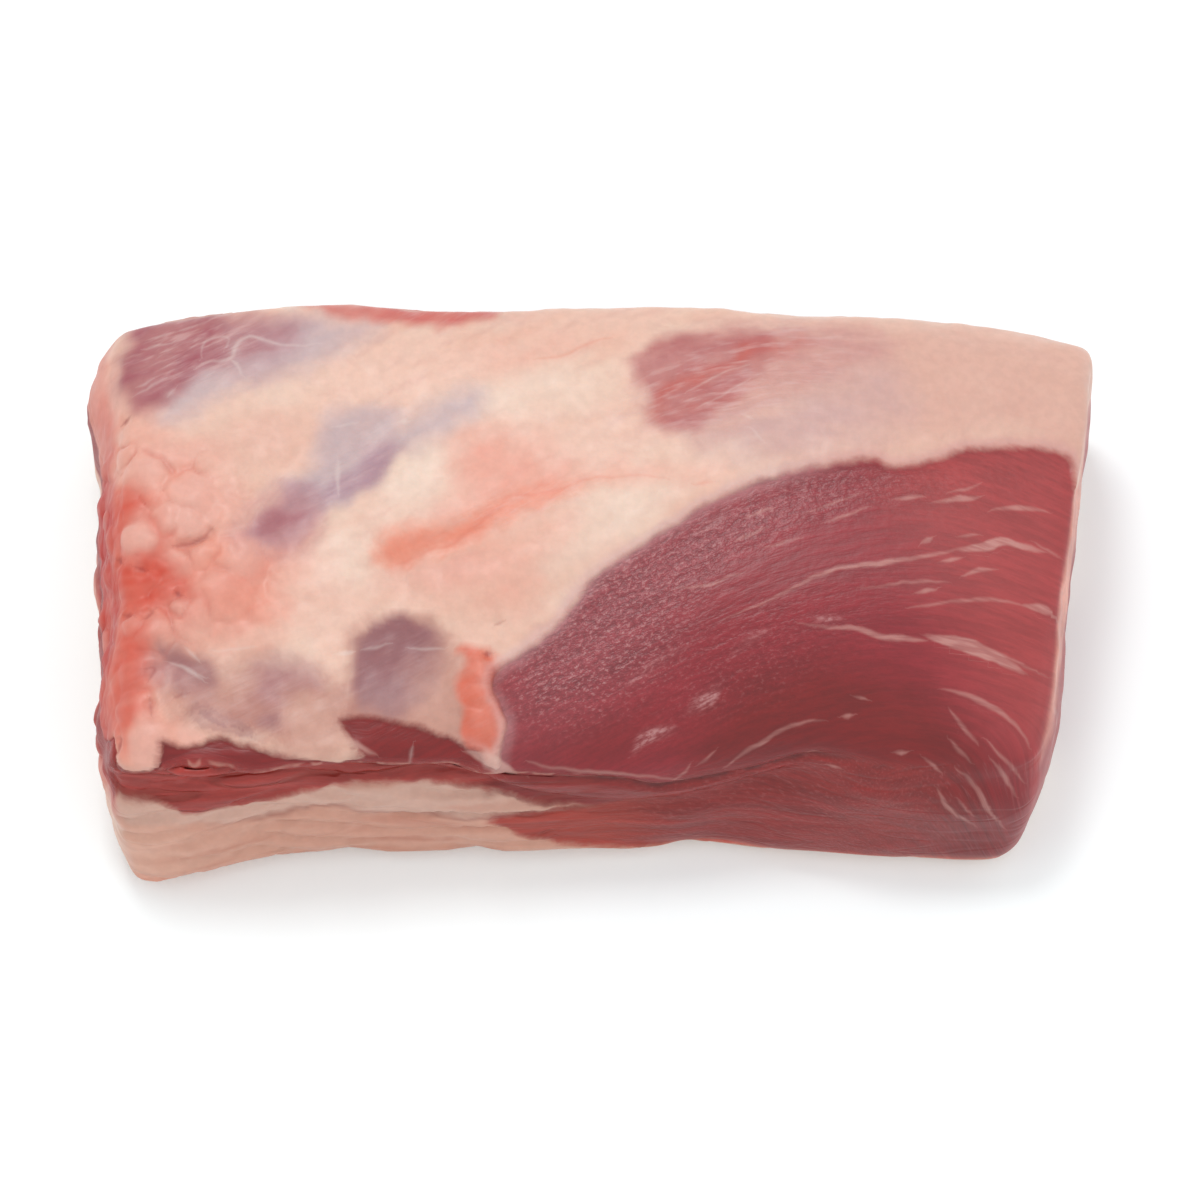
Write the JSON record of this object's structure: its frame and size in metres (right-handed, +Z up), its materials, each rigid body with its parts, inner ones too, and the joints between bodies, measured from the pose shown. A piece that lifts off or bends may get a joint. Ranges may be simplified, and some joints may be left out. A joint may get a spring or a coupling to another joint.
{
  "type": "boneless pork loin",
  "caption": "Raw boneless pork loin: a long slightly domed block that lies flat on its fat cap, rib side up, half bared eye muscle and half pale fat.",
  "frame": {"origin": "on the surface that the loin lies on, under the middle of its box", "axes": "+X along the loin towards the end where the eye muscle is bared, +Y across it away from the overhanging lip, +Z up"},
  "size_m": [0.2852, 0.1568, 0.0654],
  "materials": {
    "raw_pork": "moist raw meat: dark pink lean with fine pale marbling, cream and blush fat, lilac grey membrane"
  },
  "bodies": {
    "root": {"pork_loin": "raw_pork"}
  },
  "joints": []
}
